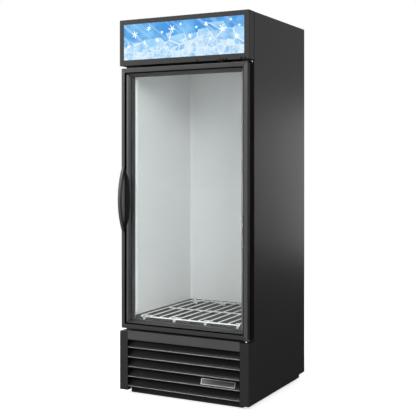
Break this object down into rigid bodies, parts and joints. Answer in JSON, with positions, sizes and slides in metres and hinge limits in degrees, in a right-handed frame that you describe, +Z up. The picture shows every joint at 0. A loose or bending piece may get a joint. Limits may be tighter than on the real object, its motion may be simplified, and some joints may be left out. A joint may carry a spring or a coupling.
{
  "type": "ice merchandiser freezer",
  "caption": "Tall glass-door freezer for bagged ice: lit sign header, self-closing hinged door with a bowed handle, insulated cabin with a wire floor rack, louvered machine compartment below.",
  "frame": {"origin": "middle of the bounding box's bottom face, on the floor under the glides", "axes": "+Z up, +X to the right seen from the front, -Y out of the front towards the viewer"},
  "size_m": [0.762, 0.792, 1.997],
  "materials": {
    "black_paint": "satin powder coat with a fine orange peel",
    "black_aluminium": "black anodised, satin",
    "black_plastic": "moulded, fine texture",
    "foam": "foamed in place",
    "zinc": "zinc-plated",
    "stainless": "brushed stainless",
    "white_lining": "smooth white enamel",
    "sign": "back-lit printed panel",
    "lamp": "frosted diffuser",
    "switch_white": "smooth",
    "glass": "clear",
    "gasket": "matt",
    "white_wire": "plastic-coated wire",
    "bare_aluminium": "mill finish",
    "dark_coil": "dull black",
    "compressor_black": "gloss black enamel",
    "copper": "drawn copper"
  },
  "bodies": {
    "root": {"cabinet_wrap": "black_paint", "face_frame": "black_plastic", "insulation": "foam", "machine_deck": "zinc", "cabin_liner": "white_lining", "rear_panel": "black_paint", "rear_vent": "black_paint", "cord_gland": "black_plastic", "base_frame": "black_paint", "glide_front_left": "black_plastic", "glide_front_right": "black_plastic", "glide_rear_left": "black_plastic", "glide_rear_right": "black_plastic", "header_frame": "black_paint", "header_box": "black_paint", "sign_panel": "sign", "sign_retainer": "zinc", "lamp_tray": "white_lining", "lamp_tube": "lamp", "lamp_holder_left": "white_lining", "lamp_holder_right": "white_lining", "switch_bezel": "black_plastic", "hinge_bracket_top": "zinc", "hinge_bracket_bottom": "zinc", "hinge_thrust_washer": "switch_white", "cabin_floor_pan": "stainless", "floor_rack": "white_wire", "light_bar_left": "lamp", "light_bar_right": "lamp", "evaporator_cover": "white_lining", "evaporator_coil": "bare_aluminium", "evaporator_fan_guard": "zinc", "evaporator_fan_motor": "zinc", "condenser_coil": "dark_coil", "condenser_shroud": "zinc", "condenser_fan_motor": "dark_coil", "compressor": "compressor_black", "control_box": "zinc", "condensate_pan": "black_plastic", "filter_drier": "copper", "discharge_line": "copper", "suction_line": "gasket", "kick_post_left": "black_paint", "kick_post_right": "black_paint", "kick_grille": "black_paint"},
    "door": {"door_rail_bottom": "black_aluminium", "door_stile_right": "black_aluminium", "door_rail_top": "black_aluminium", "door_stile_left": "black_aluminium", "door_glass_outer": "glass", "door_glass_spacer": "black_aluminium", "door_glass_inner": "glass", "door_glass_retainer": "black_plastic", "door_gasket": "gasket", "handle_grip": "black_plastic", "handle_base": "black_plastic"},
    "light_switch": {"switch_rocker": "switch_white"},
    "evaporator_fan": {"evaporator_fan": "black_plastic"},
    "condenser_fan": {"condenser_fan": "bare_aluminium"},
    "thermostat_knob": {"thermostat_knob": "black_plastic"}
  },
  "joints": [
    {"name": "door_swing", "type": "hinge", "parent": "root", "child": "door", "pos_m": [0.356, -0.331, 1.046], "axis": [0, 0, 1], "range_deg": [0, 120], "stiffness_Nm_per_rad": 1.5},
    {"name": "light_switch_rock", "type": "hinge", "parent": "root", "child": "light_switch", "pos_m": [0.222, -0.329, 1.755], "axis": [0, 1, 0], "range_deg": [0, 19]},
    {"name": "evaporator_fan_spin", "type": "hinge", "parent": "root", "child": "evaporator_fan", "pos_m": [0, -0.182, 1.852], "axis": [0, 1, 0], "continuous": true},
    {"name": "condenser_fan_spin", "type": "hinge", "parent": "root", "child": "condenser_fan", "pos_m": [0, -0.1837, 0.1603], "axis": [0, 1, 0], "continuous": true},
    {"name": "thermostat_turn", "type": "hinge", "parent": "root", "child": "thermostat_knob", "pos_m": [-0.27, -0.275, 0.1663], "axis": [0, -1, 0], "range_deg": [-150, 150]}
  ]
}
